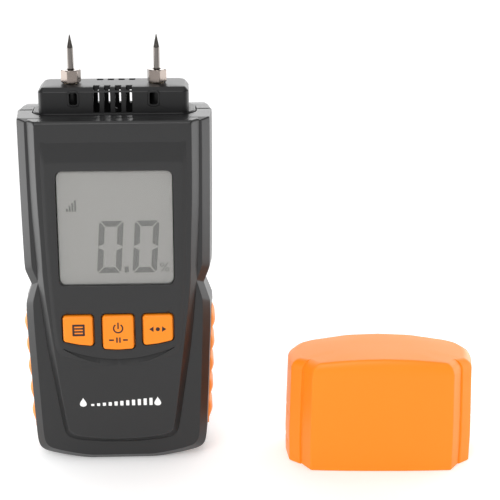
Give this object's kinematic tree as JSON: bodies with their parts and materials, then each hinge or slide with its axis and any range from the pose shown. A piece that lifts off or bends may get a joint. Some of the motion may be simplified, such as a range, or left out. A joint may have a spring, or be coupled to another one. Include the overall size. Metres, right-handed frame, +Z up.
{
  "type": "moisture meter",
  "caption": "Handheld two-pin moisture meter with a display, three keys, side grips and a hinged battery door, and its pull-off cap standing beside it.",
  "frame": {"origin": "middle of the meter's flat foot, on the surface it stands on; the loose cap stands on the same surface at +X", "axes": "+Z up along the meter towards its pins, the display and keys face -Y, +X to the right of someone who reads the display"},
  "size_m": [0.1639, 0.044, 0.1547],
  "materials": {
    "case": "fine-grained dark grey, satin",
    "head": "smooth black",
    "grip": "soft orange",
    "orange": "satin orange",
    "window": "clear polished plastic",
    "lcd": "grey liquid crystal panel",
    "frame_white": "matte white",
    "elastomer": "matte",
    "black_part": "matte black",
    "board": "green solder mask",
    "steel": "bright",
    "brass": "machined",
    "copper": "tinned copper wire",
    "cell": "plastic wrap of a dry cell"
  },
  "bodies": {
    "meter": {"front_shell": "case", "rear_shell": "case", "sensor_head": "head", "grip_left": "grip", "grip_right": "grip", "lcd_window": "window", "lcd_glass": "lcd", "lcd_frame": "frame_white", "lcd_connector": "elastomer", "main_board": "board", "chip_cover": "black_part", "buzzer": "black_part", "tact_switch_mode": "black_part", "tact_switch_power": "black_part", "tact_switch_set": "black_part", "needle_left": "steel", "needle_right": "steel", "hex_nut_left": "steel", "hex_nut_right": "steel", "electrode_post_left": "brass", "electrode_post_right": "brass", "electrode_lead_left": "copper", "electrode_lead_right": "copper", "temperature_sensor": "black_part", "board_screw_left": "steel", "board_screw_right": "steel", "case_screw_top_left": "steel", "case_screw_top_right": "steel", "case_screw_bottom_left": "steel", "case_screw_bottom_right": "steel", "battery_cell_1": "cell", "battery_cell_2": "cell", "contact_plate_top": "steel", "contact_plate_bottom": "steel", "contact_spring_1": "steel", "contact_spring_2": "steel"},
    "key_mode": {"key_mode": "orange", "plunger_mode": "black_part"},
    "key_power": {"key_power": "orange", "plunger_power": "black_part"},
    "key_set": {"key_set": "orange", "plunger_set": "black_part"},
    "battery_door": {"battery_door": "case"},
    "cap": {"cap": "orange"}
  },
  "joints": [
    {"name": "press_mode", "type": "slide", "parent": "meter", "child": "key_mode", "axis": [0, 1, 0], "range_m": [0, 0.0006], "stiffness_N_per_m": 2500},
    {"name": "press_power", "type": "slide", "parent": "meter", "child": "key_power", "axis": [0, 1, 0], "range_m": [0, 0.0006], "stiffness_N_per_m": 2500},
    {"name": "press_set", "type": "slide", "parent": "meter", "child": "key_set", "axis": [0, 1, 0], "range_m": [0, 0.0006], "stiffness_N_per_m": 2500},
    {"name": "battery_door_hinge", "type": "hinge", "parent": "meter", "child": "battery_door", "pos_m": [0, 0.01675, 0.0098], "axis": [-1, 0, 0], "range_deg": [0, 85]},
    {"name": "pull_off_cap", "type": "slide", "parent": "meter", "child": "cap", "axis": [0, 0, 1], "range_m": [0, 0.045]}
  ]
}
